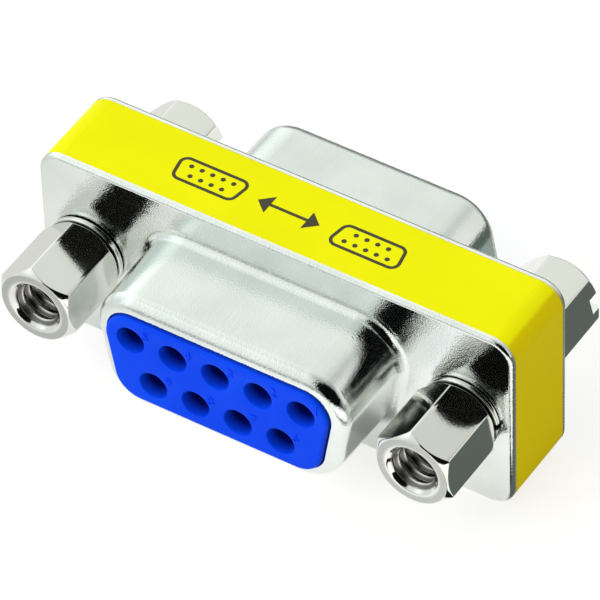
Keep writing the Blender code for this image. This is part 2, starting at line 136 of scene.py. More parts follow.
STUD_LENGTH = 8.87 * MM
STUD_TIP_RADIUS = 1.02 * MM
SLOT_WIDTH = 0.95 * MM
SLOT_DEPTH = 0.8 * MM
SLOT_TURN = math.radians(37)
WASHER_RADIUS = 2.42 * MM
WASHER_THICKNESS = 0.3 * MM
WASHER_EDGE_ROUND = 0.08 * MM
WASHER_SPLIT = 0.35 * MM
WASHER_LIFT = 0.06 * MM
NUT_TURNS = {"left": math.radians(38), "right": math.radians(35.5)}
SCREW_TURNS = {"left": math.radians(-44), "right": math.radians(-45)}
WASHER_TURNS = {"left": math.radians(200), "right": math.radians(5)}

# Places along Y for the front half
FLANGE_FACE = -2.9 * MM
FLANGE_BACK = FLANGE_FACE + SHEET
SHELL_RIM = FLANGE_FACE - SHELL_DEPTH
FACE = SHELL_RIM - FACE_PROUD
SEAT_GAP = 0.05 * MM
COLLAR_FRONT = FLANGE_BACK + SEAT_GAP
COLLAR_BACK = -1.625 * MM
BACK_FRONT = -1.575 * MM
BARREL_FRONT = FACE + MOUTH_DEPTH + THROAT_DEPTH + SEAT_GAP
TAIL_END = 0.7 * MM
SCREW_SEAT = FLANGE_FACE - SEAT_GAP
NUT_SEAT = SCREW_SEAT - WASHER_THICKNESS - WASHER_LIFT - SEAT_GAP
NOSE_INSET = RIM_ROUND + SEAT_GAP
BODY_INSET = SHEET + SEAT_GAP

# Facets, and the angles beyond which an edge is sharp
CORNER_STEPS = 24
ARC_STEPS = 10
HOLE_STEPS = 64
SOCKET_STEPS = 48
CONTACT_STEPS = 24
WASHER_STEPS = 96
EDGE_STEPS = 4
ICON_STEPS = 8
DOT_STEPS = 16
ROW_STEP = 0.03 * MM
STUD_ROW_STEP = 1.5 * ROW_STEP
FLAT_STEPS = 16
BEND_STEPS = 6
SMOOTH_ANGLE = math.radians(40)
POST_SMOOTH_ANGLE = math.radians(60)

# Printed symbol on the spacer's top: where its middle lies, its sizes, then those of its
# two D icons and of the arrow between them
SYMBOL_AT = (-0.65 * MM, -0.04 * MM)
SYMBOL_LINE = 0.2 * MM
SYMBOL_HEIGHT = 1.9 * MM
SYMBOL_PROUD = 0.012 * MM
ICON_WIDTH = 4.5 * MM
ICON_CORNER = 0.55 * MM
ICON_FROM_MIDDLE = 5.2 * MM
DOT_RADIUS = 0.15 * MM
DOT_SPREAD = 0.25
ARROW_REACH = 2.0 * MM
ARROW_HEAD_LENGTH = 0.8 * MM
ARROW_HEAD_SHARE = 0.75

# Colours, as the darker and the lighter end of a stain or drift, or a single one
STEEL = ((0.73, 0.77, 0.745), (0.81, 0.845, 0.82))
CUT_EDGE = ((0.84, 0.845, 0.82), (0.94, 0.945, 0.93))
# Painted shade: the darker, browner tone of sheared edges that face left or right
CUT_EDGE_SHADED_END = (0.46, 0.44, 0.40)
NICKEL = ((0.75, 0.745, 0.70), (0.86, 0.855, 0.815))
NICKEL_END = ((0.40, 0.415, 0.385), (0.52, 0.535, 0.50))
# Painted shade in the roots of the posts' threads
NICKEL_THREAD_SHADE = (0.07, 0.06, 0.05)
BLUE = ((0.002, 0.062, 0.92), (0.003, 0.074, 0.97))
# Painted shade down the sockets of the blue moulding
BLUE_SOCKET_SHADE = (0.001, 0.006, 0.17)
YELLOW = ((0.86, 0.84, 0.003), (0.90, 0.88, 0.004))
# Painted shade on the spacer's right end
YELLOW_SHADED_END = (0.72, 0.59, 0.0005)
GILT = ((0.62, 0.42, 0.16), (0.90, 0.66, 0.30))
BOARD = ((0.012, 0.12, 0.04), (0.03, 0.26, 0.09))
INK = ((0.022, 0.018, 0.004), (0.055, 0.046, 0.010))
PAPER = ((0.72, 0.73, 0.72), (0.76, 0.77, 0.76))

# Where painted shade begins on a post's thread and where its bore ends, as soft ranges of distance
# from its axis
THREAD_SHADE_RAMP = (1.22 * MM, 1.3 * MM)
BORE_ENDS = (1.42 * MM, 1.5 * MM)

# Camera, worked out from the photograph
CAMERA_AT = (0.150826, -0.227582, 0.278488)
CAMERA_RIGHT = (0.84636, 0.53205, -0.02451)
CAMERA_UP = (-0.36131, 0.60736, 0.70750)
CAMERA_BACK = (0.39131, -0.58994, 0.70628)
CAMERA_LENS = 415.41
SENSOR = 36.0
CLIP = (0.02, 20.0)

# The studio: panels as (direction, full within degrees, gone beyond degrees, colour), and
# flags, which take a share of the light away, as (direction, the same angles, share)
BASE_LIGHT = (0.40, 0.43, 0.41)
PANELS = (
    ((-0.45, 0.60, 0.66), 18.0, 68.0, (0.52, 0.53, 0.50)),
    ((0.78, 0.58, 0.22), 16.0, 38.0, (0.50, 0.48, 0.46)),
    ((-1.0, -0.10, 0.25), 30.0, 65.0, (0.42, 0.46, 0.47)),
    ((-0.374, -0.65, 0.66), 14.0, 40.0, (0.46, 0.45, 0.46)),
)
FLAGS = (
    ((0.62, -0.60, 0.50), 37.0, 43.0, 0.99),
    ((-0.37, 0.92, 0.02), 12.0, 30.0, 0.6),
)

# Lamps that reflections don't show, as (direction, strength, colour)
LAMPS = (
    ((-0.35, -0.72, 0.60), 0.38, (1.0, 1.0, 1.0)),
    ((0.75, -0.45, 0.48), 0.28, (1.0, 0.86, 0.65)),
)
LAMP_DISTANCE = 0.6
LAMP_SIZE = 0.25

# The floor, and its light as (share that is lit, glow), seen directly and in reflections
FLOOR_REACH = 3.0
FLOOR_THICKNESS = 0.01
FLOOR_SEEN = (0.34, 0.74)
FLOOR_MIRRORED = (0.66, 0.42)

# Its tone in reflections from left to right, as (x, x, tone, tone), and how dark it ends at
# the back, along Y slanted by a share of X
FLOOR_SLOPE = (-36.0 * MM, 13.0 * MM, 0.74, 1.16)
FLOOR_BACK = 25.0 * MM
FLOOR_BACK_END = 1.8 * FLOOR_BACK
FLOOR_BACK_SLANT = 0.9
FLOOR_BACK_TONE = 0.12

# Where the floor is darker in reflections, beside the D shell, and how much
SHADE_LEFT = 7.7 * MM
SHADE_RIGHT = 11.0 * MM
SHADE_FRONT = -4.5 * MM
SHADE_SOFT = 1.2 * MM
SHADE_DEPTH = 0.6

# Painted dark reflection at the floor's right: where it begins along X and Y, its near spot's right
# side, their colours
DARK_REFLECTION_FROM = 14.8 * MM
DARK_REFLECTION_SOFT = 0.6 * MM
DARK_REFLECTION_NEAR = -5.0 * MM
SPOT_RIGHT = 17.4 * MM
DARK_REFLECTION_NEAR_COLOR = (0.01, 0.012, 0.011)
DARK_REFLECTION_COLOR = (0.12, 0.145, 0.13)

# Its grey part at the back, a painted reflection for the rear D shell, from left to right and from
# its near side
GREY_REFLECTION_BACK = (11.5 * MM, 18.8 * MM, 7.5 * MM)
GREY_REFLECTION_COLOR = (0.33, 0.385, 0.355)


def arc(centre_x, centre_z, radius, start, end, steps):
    """Points along an arc, both ends included, angles in radians."""
    points = []
    for step in range(steps + 1):
        angle = start + (end - start) * step / steps
        points.append((centre_x + radius * math.cos(angle), centre_z + radius * math.sin(angle)))
    return points


def circle(centre_x, centre_z, radius, steps):
    """Points round a circle, without the first one again at the end."""
    return arc(centre_x, centre_z, radius, 0.0, 2 * math.pi, steps)[:-1]


def d_outline(inset, width=D_WIDTH, height=D_HEIGHT, corner=D_CORNER, steps=CORNER_STEPS):
    """The D, wide side up, drawn in by the inset. Each corner keeps its centre."""
    radius = corner - inset
    high = height / 2 - corner
    top_x = width / 2 - corner
    bottom_x = top_x - 2 * high * math.tan(D_SIDE_ANGLE)
    points = arc(top_x, high, radius, -D_SIDE_ANGLE, QUARTER, steps)
    points += arc(-top_x, high, radius, QUARTER, math.pi + D_SIDE_ANGLE, steps)
    points += arc(-bottom_x, -high, radius, math.pi + D_SIDE_ANGLE, 3 * QUARTER, steps)
    points += arc(bottom_x, -high, radius, 3 * QUARTER, 4 * QUARTER - D_SIDE_ANGLE, steps)
    return points


def rectangle_outline(length, height, corner, inset=0.0, steps=CORNER_STEPS):
    """A rectangle with round corners, drawn in by the inset."""
    radius = corner - inset
    x = length / 2 - corner
    z = height / 2 - corner
    points = []
    for index, (side_x, side_z) in enumerate(((1, 1), (-1, 1), (-1, -1), (1, -1))):
        start = index * QUARTER
        points += arc(side_x * x, side_z * z, radius, start, start + QUARTER, steps)
    return points


def edge_round(radius, inset, y, direction=1, steps=ARC_STEPS):
    """A quarter round as (inset, y) points, from the face at y to the side."""
    points = []
    for step in range(steps + 1):
        angle = QUARTER * step / steps
        depth = radius * (1 - math.cos(angle))
        points.append((inset + radius * (1 - math.sin(angle)), y + direction * depth))
    return points


def contact_places():
    """Centre of each contact, 1 to 9: 1 to 5 in the wide row."""
    places = []
    for count, z in ((WIDE_ROW, ROW_PITCH / 2), (NARROW_ROW, -ROW_PITCH / 2)):
        for index in range(count):
            places.append((((count - 1) / 2 - index) * CONTACT_PITCH, z))
    return places


def add_ring(bm, outline, y):
    return [bm.verts.new((x, y, z)) for x, z in outline]


def add_loft(bm, rings, material_index=0):
    """Bands of faces from each ring to the next."""
    for first, second in zip(rings, rings[1:]):
        for index in range(len(first)):
            after = (index + 1) % len(first)
            face = bm.faces.new((first[index], first[after], second[after], second[index]))
            face.material_index = material_index


def add_flat(bm, rings):
    """A flat face with holes: the first ring is its outline and the rest are the holes."""
    edges = []
    for ring in rings:
        for index in range(len(ring)):
            pair = (ring[index - 1], ring[index])
            edges.append(bm.edges.get(pair) or bm.edges.new(pair))
    bmesh.ops.triangle_fill(bm, use_beauty=True, use_dissolve=False, edges=edges)


def add_fan(bm, ring, tip):
    """A cone or disc from the ring to one point."""
    point = bm.verts.new(tip)
    for index in range(len(ring)):
        bm.faces.new((ring[index - 1], ring[index], point))


def finished_mesh(bm, name, angle=SMOOTH_ANGLE):
    """The mesh of a bmesh, with its faces outward and smooth but for sharp edges."""
    bmesh.ops.recalc_face_normals(bm, faces=bm.faces)
    mesh = bpy.data.meshes.new(name)
    bm.to_mesh(mesh)
    bm.free()
    shade(mesh, angle)
    return mesh


def shade(mesh, angle):
    mesh.shade_smooth()
    mesh.set_sharp_from_angle(angle=angle)


def place(name, mesh, looks, matrix, node=None):
    """A piece of the visual model on the root body, standing for a CAD node if it has one."""
    obj = bpy.data.objects.new(name, mesh)
    bpy.context.scene.collection.objects.link(obj)
    if not mesh.materials:
        for look in looks:
            mesh.materials.append(look)
    obj.matrix_world = matrix
    weighted = obj.modifiers.new("weighted_normals", "WEIGHTED_NORMAL")
    weighted.keep_sharp = True
    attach(obj, "root")
    if node:
        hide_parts(node)


def cut_mesh(mesh, cutter_mesh, angle):
    """The mesh with the cutter taken away."""
    body = bpy.data.objects.new("body", mesh)
    cutter = bpy.data.objects.new("cutter", cutter_mesh)
    for obj in (body, cutter):
        bpy.context.scene.collection.objects.link(obj)
    cut = body.modifiers.new("cut", "BOOLEAN")
    cut.operation = "DIFFERENCE"
    cut.solver = "EXACT"
    cut.object = cutter
    bpy.context.view_layer.update()
    evaluated = body.evaluated_get(bpy.context.evaluated_depsgraph_get())
    result = bpy.data.meshes.new_from_object(evaluated)
    result.name = mesh.name + "_cut"
    for obj in (body, cutter):
        bpy.data.objects.remove(obj, do_unlink=True)
    shade(result, angle)
    return result


def box_mesh(low, high, turn=0.0):
    """A box between two corners, turned about Y."""
    bm = bmesh.new()
    bmesh.ops.create_cube(bm, size=1.0)
    for vert in bm.verts:
        vert.co = [low[i] + (vert.co[i] + 0.5) * (high[i] - low[i]) for i in range(3)]
    bmesh.ops.rotate(bm, verts=bm.verts, matrix=Matrix.Rotation(-turn, 3, "Y"))
    return finished_mesh(bm, "box")


def shell_profile():
    """The drawn wall's section as (inset, y), down its outside and back up its inside."""
    root = FLANGE_FACE - ROOT_ROUND
    rim = SHELL_RIM + RIM_ROUND
    lip = SHELL_RIM + LIP_ROUND
    bend = -ROOT_ROUND - WALL_DRAFT
    points = arc(bend, root, ROOT_ROUND, QUARTER, 0.0, ARC_STEPS)
    points += arc(RIM_ROUND, rim, RIM_ROUND, 2 * QUARTER, 3 * QUARTER, 2 * ARC_STEPS)[:-1]
    points += arc(RIM_ROUND - LIP_ROUND, lip, LIP_ROUND, -QUARTER, 0.0, EDGE_STEPS)
    points += arc(RIM_ROUND, rim, RIM_ROUND - SHEET, 3 * QUARTER, 2 * QUARTER, ARC_STEPS)
    points += arc(bend, root, ROOT_ROUND + SHEET, 0.0, QUARTER, ARC_STEPS)
    return points


def shell_mesh():
    """Flange and D shell. Faces of the sheared edges take the second material."""
    bm = bmesh.new()
    wall = [add_ring(bm, d_outline(inset), y) for inset, y in shell_profile()]
    add_loft(bm, wall)
    edge = []
    for inset, y in edge_round(FLANGE_EDGE_ROUND, 0.0, FLANGE_FACE):
        outline = rectangle_outline(FLANGE_LENGTH, FLANGE_HEIGHT, FLANGE_CORNER, inset)
        edge.append(add_ring(bm, outline, y))
    add_loft(bm, edge)
    outline = rectangle_outline(FLANGE_LENGTH, FLANGE_HEIGHT, FLANGE_CORNER)
    edge.append(add_ring(bm, outline, FLANGE_BACK))
    add_loft(bm, edge[-2:], 1)
    fronts = []
    backs = []
    for side in (-1, 1):
        hole = circle(side * SCREW_X, 0.0, FLANGE_HOLE_RADIUS, HOLE_STEPS)
        fronts.append(add_ring(bm, hole, FLANGE_FACE))
        backs.append(add_ring(bm, hole, FLANGE_BACK))
        add_loft(bm, [fronts[-1], backs[-1]], 1)
    add_flat(bm, [edge[0], wall[0]] + fronts)
    add_flat(bm, [edge[-1], wall[-1]] + backs)
    return finished_mesh(bm, "drawn_shell")


def add_number(bm, number, x, z):
    """A raised moulded figure on the insulator's face, with its root inside the body.

    A text is extruded both ways from its plane, which lies below the face for that.
    """
    curve = bpy.data.curves.new("number", "FONT")
    curve.body = str(number)
    curve.size = NUMBER_HEIGHT * FONT_PER_HEIGHT
    curve.align_x = "CENTER"
    curve.align_y = "CENTER"
    curve.extrude = 2 * NUMBER_PROUD
    curve.resolution_u = EDGE_STEPS
    obj = bpy.data.objects.new("number", curve)
    mesh = bpy.data.meshes.new_from_object(obj)
    turn = Matrix.Translation((x, FACE + NUMBER_PROUD, z)) @ Matrix.Rotation(QUARTER, 4, "X")
    mesh.transform(turn)
    bm.from_mesh(mesh)
    bpy.data.objects.remove(obj)
    bpy.data.curves.remove(curve)
    bpy.data.meshes.remove(mesh)


def insulator_mesh():
    """Moulding with its nose, body and collar, nine stepped sockets and raised figures."""
    bm = bmesh.new()
    steps = edge_round(FACE_EDGE_ROUND, NOSE_INSET, FACE) + [
        (NOSE_INSET, SHELL_RIM + SHEET + SEAT_GAP),
        (BODY_INSET, SHELL_RIM + RIM_ROUND),
        (BODY_INSET, COLLAR_FRONT),
        (-COLLAR_MARGIN, COLLAR_FRONT),
        (-COLLAR_MARGIN, COLLAR_BACK),
    ]
    outside = [add_ring(bm, d_outline(inset), y) for inset, y in steps]
    add_loft(bm, outside)
    throat_back = FACE + MOUTH_DEPTH + THROAT_DEPTH
    lip = edge_round(MOUTH_EDGE_ROUND, 0.0, FACE, 1, EDGE_STEPS)
    socket = [(MOUTH_RADIUS + inset, y) for inset, y in lip] + [
        (THROAT_RADIUS, FACE + MOUTH_DEPTH),
        (THROAT_RADIUS, throat_back),
        (CAVITY_RADIUS, throat_back),
        (CAVITY_RADIUS, COLLAR_BACK),
    ]
    mouths = []
    ends = []
    for x, z in contact_places():
        rings = [add_ring(bm, circle(x, z, radius, SOCKET_STEPS), y) for radius, y in socket]
        add_loft(bm, rings)
        mouths.append(rings[0])
        ends.append(rings[-1])
    add_flat(bm, [outside[0]] + mouths)
    add_flat(bm, [outside[-1]] + ends)
    for number, (x, z) in enumerate(contact_places(), 1):
        add_number(bm, number, x + NUMBER_OFFSET[0], z + NUMBER_OFFSET[1])
    return finished_mesh(bm, "insulator_moulding")


def contact_mesh():
    """Turned socket contact: slit barrel, shoulder and solder tail."""
    bore_end = BACK_FRONT - BARREL_END_WALL
    shoulder_back = BACK_FRONT + SHOULDER_THICKNESS
    profile = [
        (BARREL_BORE, bore_end),
        (BARREL_BORE, BARREL_FRONT + BARREL_LEAD),
        (BARREL_RADIUS - BARREL_LEAD, BARREL_FRONT),
        (BARREL_RADIUS, BARREL_FRONT + BARREL_LEAD),
        (BARREL_RADIUS, BACK_FRONT),
        (SHOULDER_RADIUS, BACK_FRONT),
        (SHOULDER_RADIUS, shoulder_back),
        (TAIL_RADIUS, shoulder_back),
        (TAIL_RADIUS, TAIL_END),
    ]
    bm = bmesh.new()
    rings = [add_ring(bm, circle(0.0, 0.0, radius, CONTACT_STEPS), y) for radius, y in profile]
    add_loft(bm, rings)
    add_fan(bm, rings[0], (0.0, bore_end, 0.0))
    add_fan(bm, rings[-1], (0.0, TAIL_END, 0.0))
    turned = finished_mesh(bm, "turned_contact")
    low = (-2 * BARREL_RADIUS, BARREL_FRONT - BARREL_LEAD, -BARREL_SLIT / 2)
    high = (2 * BARREL_RADIUS, BARREL_FRONT + BARREL_SLIT_LENGTH, BARREL_SLIT / 2)
    return cut_mesh(turned, box_mesh(low, high), SMOOTH_ANGLE)


def spacer_mesh():
    """Moulded band with its window and screw holes."""
    bm = bmesh.new()
    half = SPACER_DEPTH / 2
    profile = edge_round(SPACER_FRONT_ROUND, 0.0, -half, 1, EDGE_STEPS)
    profile += list(reversed(edge_round(SPACER_BACK_ROUND, 0.0, half, -1, EDGE_STEPS)))
    outside = []
    for inset, y in profile:
        outline = rectangle_outline(FLANGE_LENGTH, FLANGE_HEIGHT, FLANGE_CORNER, inset)
        outside.append(add_ring(bm, outline, y))
    add_loft(bm, outside)
    openings = [rectangle_outline(WINDOW_LENGTH, WINDOW_HEIGHT, WINDOW_CORNER)]
    for side in (-1, 1):
        openings.append(circle(side * SCREW_X, 0.0, SPACER_HOLE_RADIUS, HOLE_STEPS))
    fronts = [add_ring(bm, outline, -half) for outline in openings]
    backs = [add_ring(bm, outline, half) for outline in openings]
    for front, back in zip(fronts, backs):
        add_loft(bm, [front, back])
    add_flat(bm, [outside[0]] + fronts)
    add_flat(bm, [outside[-1]] + backs)
    return finished_mesh(bm, "spacer_moulding")


def hexagon_angles():
    """Angles round a post, close together at each rounded corner and even between."""
    reach = (POST_APOTHEM - POST_CORNER_ROUND) * math.tan(math.pi / 6) / POST_APOTHEM
    corner = math.pi / 6 - math.atan(reach)
    flat = math.pi / 3 - 2 * corner
    angles = []
    for side in range(6):
        start = side * math.pi / 3 - corner
        angles += [start + 2 * corner * step / BEND_STEPS for step in range(BEND_STEPS)]
        angles += [start + 2 * corner + flat * step / FLAT_STEPS for step in range(FLAT_STEPS)]
    return angles


def hexagon_radius(angle):
    """Outside of a hexagonal bar with rounded corners, one of them at angle 0."""
    off_corner = (angle + math.pi / 6) % (math.pi / 3) - math.pi / 6
    centre = (POST_APOTHEM - POST_CORNER_ROUND) / math.cos(math.pi / 6)
    flat = POST_APOTHEM / math.cos(math.pi / 6 - abs(off_corner))
    across = centre * math.sin(off_corner)
    if abs(across) > POST_CORNER_ROUND:
        return flat
    return min(flat, centre * math.cos(off_corner) + math.sqrt(POST_CORNER_ROUND**2 - across**2))


def thread_radius(angle, along, root, crest):
    """A right-hand V thread. What the flanks leave of each half turn is flat root and crest."""
    turn = (along / THREAD_PITCH + angle / (2 * math.pi)) % 1.0
    rise = 1.0 - abs(2.0 * turn - 1.0)
    rise = min(max((rise - THREAD_ROOT_SHARE) / THREAD_FLANK_SHARE, 0.0), 1.0)
    return root + (crest - root) * rise


def polar_ring(bm, radius_at, y_at):
    """A ring round the post's axis, from its radius and height at each angle."""
    ring = []
    for angle in hexagon_angles():
        radius = radius_at(angle)
        ring.append(bm.verts.new((radius * math.cos(angle), y_at(angle), radius * math.sin(angle))))
    return ring


def round_ring(bm, radius, y):
    return polar_ring(bm, lambda angle: radius, lambda angle: y)


def end_rings(bm, end_y, direction):
    """The chamfered end of the bar, from its flat face out to the flats.

    Rings lie close together at both edges of the chamfer, which are a little soft.
    """
    soft = POST_EDGE_SOFT

    def cone(angle, less):
        return hexagon_radius(angle) - less

    def deep(angle, less, more=0.0):
        fall = (cone(angle, less) - POST_END_RADIUS) * CHAMFER_SLOPE
        return end_y + direction * (fall + more)

    return [
        round_ring(bm, POST_END_RADIUS - soft, end_y),
        round_ring(bm, POST_END_RADIUS + soft, end_y + direction * soft * CHAMFER_SLOPE / 1.5),
        polar_ring(bm, lambda a: cone(a, 1.6 * soft), lambda a: deep(a, 1.6 * soft)),
        polar_ring(bm, lambda a: cone(a, soft / 4), lambda a: deep(a, 0.0, soft / 4)),
        polar_ring(bm, lambda a: cone(a, 0.0), lambda a: deep(a, 0.0, 2 * soft)),
    ]


def bore_rings(bm, length, depth_end):
    """Countersunk threaded bore, from the post's free end inward."""
    soft = BORE_EDGE_SOFT
    rings = [
        round_ring(bm, BORE_MOUTH_RADIUS + soft, -length),
        round_ring(bm, BORE_MOUTH_RADIUS - soft / 2, -length + soft),
    ]
    depth = 2 * soft
    while depth < depth_end:
        limit = BORE_MOUTH_RADIUS - BORE_SINK_SLOPE * depth

        def radius_at(angle, depth=depth, limit=limit):
            return max(thread_radius(angle, depth, THREAD_ROOT, THREAD_CREST), limit)

        rings.append(polar_ring(bm, radius_at, lambda angle, depth=depth: depth - length))
        depth += ROW_STEP
    return rings


def jack_nut_mesh():
    """Hexagonal post bored through: threaded outside, opened up where the stud comes in."""
    bm = bmesh.new()
    sink = BORE_MOUTH_RADIUS - BORE_RADIUS
    free_end = list(reversed(end_rings(bm, -NUT_LENGTH, 1)))
    rings = end_rings(bm, 0.0, -1) + free_end + bore_rings(bm, NUT_LENGTH, NUT_THREAD_DEPTH)
    rings.append(round_ring(bm, BORE_RADIUS, NUT_THREAD_DEPTH + ROW_STEP - NUT_LENGTH))
    rings.append(round_ring(bm, BORE_RADIUS, -sink))
    rings.append(round_ring(bm, BORE_MOUTH_RADIUS, 0.0))
    add_loft(bm, rings + rings[:1])
    return finished_mesh(bm, "jack_nut", POST_SMOOTH_ANGLE)


def stud_rings(bm):
    """The threaded stud, from its tip back to the post."""
    rings = []
    depth = 0.0
    while depth < STUD_LENGTH:
        limit = STUD_TIP_RADIUS + depth

        def radius_at(angle, depth=depth, limit=limit):
            thread = thread_radius(angle, STUD_LENGTH - depth, STUD_ROOT, STUD_CREST)
            return min(thread, limit)

        rings.append(polar_ring(bm, radius_at, lambda angle, depth=depth: STUD_LENGTH - depth))
        depth += STUD_ROW_STEP
    return rings


def jack_screw_mesh():
    """Hexagonal post with a stud behind, a blind threaded bore and a screwdriver slot."""
    bm = bmesh.new()
    free_end = list(reversed(end_rings(bm, -SCREW_LENGTH, 1)))
    stud = stud_rings(bm)
    rings = stud + [round_ring(bm, STUD_ROOT, 0.0)] + end_rings(bm, 0.0, -1) + free_end
    rings += bore_rings(bm, SCREW_LENGTH, SCREW_THREAD_DEPTH)
    bottom = SCREW_BORE_DEPTH - SCREW_LENGTH
    rings.append(round_ring(bm, THREAD_CREST, SCREW_THREAD_DEPTH + ROW_STEP - SCREW_LENGTH))
    rings.append(round_ring(bm, THREAD_CREST, bottom))
    add_loft(bm, rings)
    add_fan(bm, rings[0], (0.0, STUD_LENGTH, 0.0))
    add_fan(bm, rings[-1], (0.0, bottom + THREAD_CREST / 2, 0.0))
    body = finished_mesh(bm, "jack_screw", POST_SMOOTH_ANGLE)
    low = (-2 * POST_APOTHEM, -SCREW_LENGTH - SLOT_DEPTH, -SLOT_WIDTH / 2)
    high = (2 * POST_APOTHEM, -SCREW_LENGTH + SLOT_DEPTH, SLOT_WIDTH / 2)
    return cut_mesh(body, box_mesh(low, high, SLOT_TURN), POST_SMOOTH_ANGLE)


def washer_mesh():
    """Split spring washer: a soft-edged square section swept almost once round."""
    bm = bmesh.new()
    half_split = math.asin(WASHER_SPLIT / 2 / WASHER_RADIUS)
    middle_radius = (FLANGE_HOLE_RADIUS + WASHER_RADIUS) / 2
    width = WASHER_RADIUS - FLANGE_HOLE_RADIUS
    outline = rectangle_outline(width, WASHER_THICKNESS, WASHER_EDGE_ROUND, steps=EDGE_STEPS)
    sections = []
    for step in range(WASHER_STEPS + 1):
        share = step / WASHER_STEPS
        angle = half_split + (2 * math.pi - 2 * half_split) * share
        section = []
        for off, up in outline:
            radius = middle_radius + off
            height = up - WASHER_THICKNESS / 2 - WASHER_LIFT * share
            point = (radius * math.cos(angle), height, radius * math.sin(angle))
            section.append(bm.verts.new(point))
        sections.append(section)
    add_loft(bm, sections)
    bm.faces.new(sections[0])
    bm.faces.new(sections[-1])
    return finished_mesh(bm, "spring_washer")


def add_slab(bm, outline, hole=None):
    """A thin raised shape of ink on the plane z = 0, from (x, y) points."""
    levels = []
    for z in (0.0, SYMBOL_PROUD):
        rings = [[bm.verts.new((x, y, z)) for x, y in points] for points in (outline, hole or ())]
        levels.append([ring for ring in rings if ring])
    for low, high in zip(*levels):
        add_loft(bm, [low, high])
    for level in levels:
        add_flat(bm, level)


def symbol_mesh():
    """Socket, double arrow, socket turned over: the adapter's use as plain shapes."""
    bm = bmesh.new()
    for middle, up in ((-ICON_FROM_MIDDLE, 1), (ICON_FROM_MIDDLE, -1)):

        def turned(points, middle=middle, up=up):
            return [(middle + x, up * y) for x, y in points]

        outer = d_outline(0.0, ICON_WIDTH, SYMBOL_HEIGHT, ICON_CORNER, ICON_STEPS)
        inner = d_outline(SYMBOL_LINE, ICON_WIDTH, SYMBOL_HEIGHT, ICON_CORNER, ICON_STEPS)
        add_slab(bm, turned(outer), turned(inner))
        for x, z in contact_places():
            dot = circle(x * DOT_SPREAD, z * DOT_SPREAD, DOT_RADIUS, DOT_STEPS)
            add_slab(bm, turned(dot))
    tip = ARROW_REACH
    neck = tip - ARROW_HEAD_LENGTH
    head = ARROW_HEAD_SHARE * SYMBOL_HEIGHT / 2
    bar = SYMBOL_LINE / 2
    arrow = [(tip, 0.0), (neck, head), (neck, bar), (-neck, bar), (-neck, head)]
    arrow += [(-tip, 0.0), (-neck, -head), (-neck, -bar), (neck, -bar), (neck, -head)]
    add_slab(bm, arrow)
    return finished_mesh(bm, "printed_symbol")


def feed(tree, socket, value):
    """Links the value where it is a socket, or else sets it. A colour may have three numbers."""
    if isinstance(value, bpy.types.NodeSocket):
        tree.links.new(value, socket)
    elif isinstance(value, tuple) and socket.type == "RGBA" and len(value) == 3:
        socket.default_value = (*value, 1.0)
    else:
        socket.default_value = value


def node(tree, kind, values=None, **settings):
    """A shader node. Its inputs are given by name or number, as values or as sockets to link."""
    made = tree.nodes.new(kind)
    for name, value in settings.items():
        setattr(made, name, value)
    for name, value in (values or {}).items():
        feed(tree, made.inputs[name], value)
    return made


def calc(tree, operation, first, second=0.0):
    return node(tree, "ShaderNodeMath", {0: first, 1: second}, operation=operation).outputs[0]


def noise(tree, vector, scale, detail=3.0, rough=0.5):
    values = {"Vector": vector, "Scale": scale, "Detail": detail, "Roughness": rough}
    return node(tree, "ShaderNodeTexNoise", values).outputs["Fac"]


def spread(tree, value, low, high, to_low, to_high):
    """The value stretched from one range to another, and kept inside it."""
    values = {0: value, 1: low, 2: high, 3: to_low, 4: to_high}
    return node(tree, "ShaderNodeMapRange", values).outputs[0]


def contrast(tree, value):
    """Noise, stretched from its usual range to 0 to 1."""
    return spread(tree, value, 0.35, 0.65, 0.0, 1.0)


def blend_colors(tree, factor, first, second):
    values = {0: factor, 6: first, 7: second}
    return node(tree, "ShaderNodeMix", values, data_type="RGBA").outputs[2]


def mix_shaders(tree, factor, first, second):
    return node(tree, "ShaderNodeMixShader", {0: factor, 1: first, 2: second}).outputs[0]


def split_axes(tree, vector):
    return node(tree, "ShaderNodeSeparateXYZ", {0: vector}).outputs


def stretched(tree, vector, scale):
    return node(tree, "ShaderNodeMapping", {"Vector": vector, "Scale": scale}).outputs[0]


def bump(tree, height, distance, normal=None):
    values = {"Height": height, "Distance": distance, "Strength": 1.0}
    if normal is not None:
        values["Normal"] = normal
    return node(tree, "ShaderNodeBump", values).outputs[0]


def start_material(name):
    """A material with its Principled shader, and object coordinates in metres."""
    made = bpy.data.materials.new(name)
    made.use_nodes = True
    tree = made.node_tree
    shader = tree.nodes["Principled BSDF"]
    coords = node(tree, "ShaderNodeTexCoord")
    return made, tree, shader, coords


def set_inputs(tree, shader, values):
    for name, value in values.items():
        feed(tree, shader.inputs[name], value)


def plated_steel(name, tones, roughs, grain, waves, metal=1.0, end=None):
    """Dull plated sheet: sparkling fine grain, slow waves from the press, faint stains.

    With an end colour, faces that look left or right take it, as painted shade.
    """
    made, tree, shader, coords = start_material(name)
    place_at = coords.outputs["Object"]
    stain = noise(tree, place_at, 260.0, 4.0)
    fine = noise(tree, place_at, 11000.0, 1.0)
    slow = noise(tree, place_at, 420.0, 1.0)
    drawn = noise(tree, stretched(tree, place_at, (5200.0, 420.0, 5200.0)), 1.0, 2.0)
    tone = blend_colors(tree, contrast(tree, stain), *tones)
    # Painted shade on faces that look left or right
    if end:
        facing = calc(tree, "ABSOLUTE", split_axes(tree, coords.outputs["Normal"])[0])
        tone = blend_colors(tree, spread(tree, facing, 0.4, 0.8, 0.0, 1.0), tone, end)
    rough = spread(tree, calc(tree, "ADD", fine, stain), 0.7, 1.3, *roughs)
    normal = bump(tree, slow, waves)
    normal = bump(tree, drawn, grain * 0.5, normal)
    normal = bump(tree, fine, grain, normal)
    values = {"Base Color": tone, "Metallic": metal, "Roughness": rough, "Normal": normal}
    set_inputs(tree, shader, values)
    return made


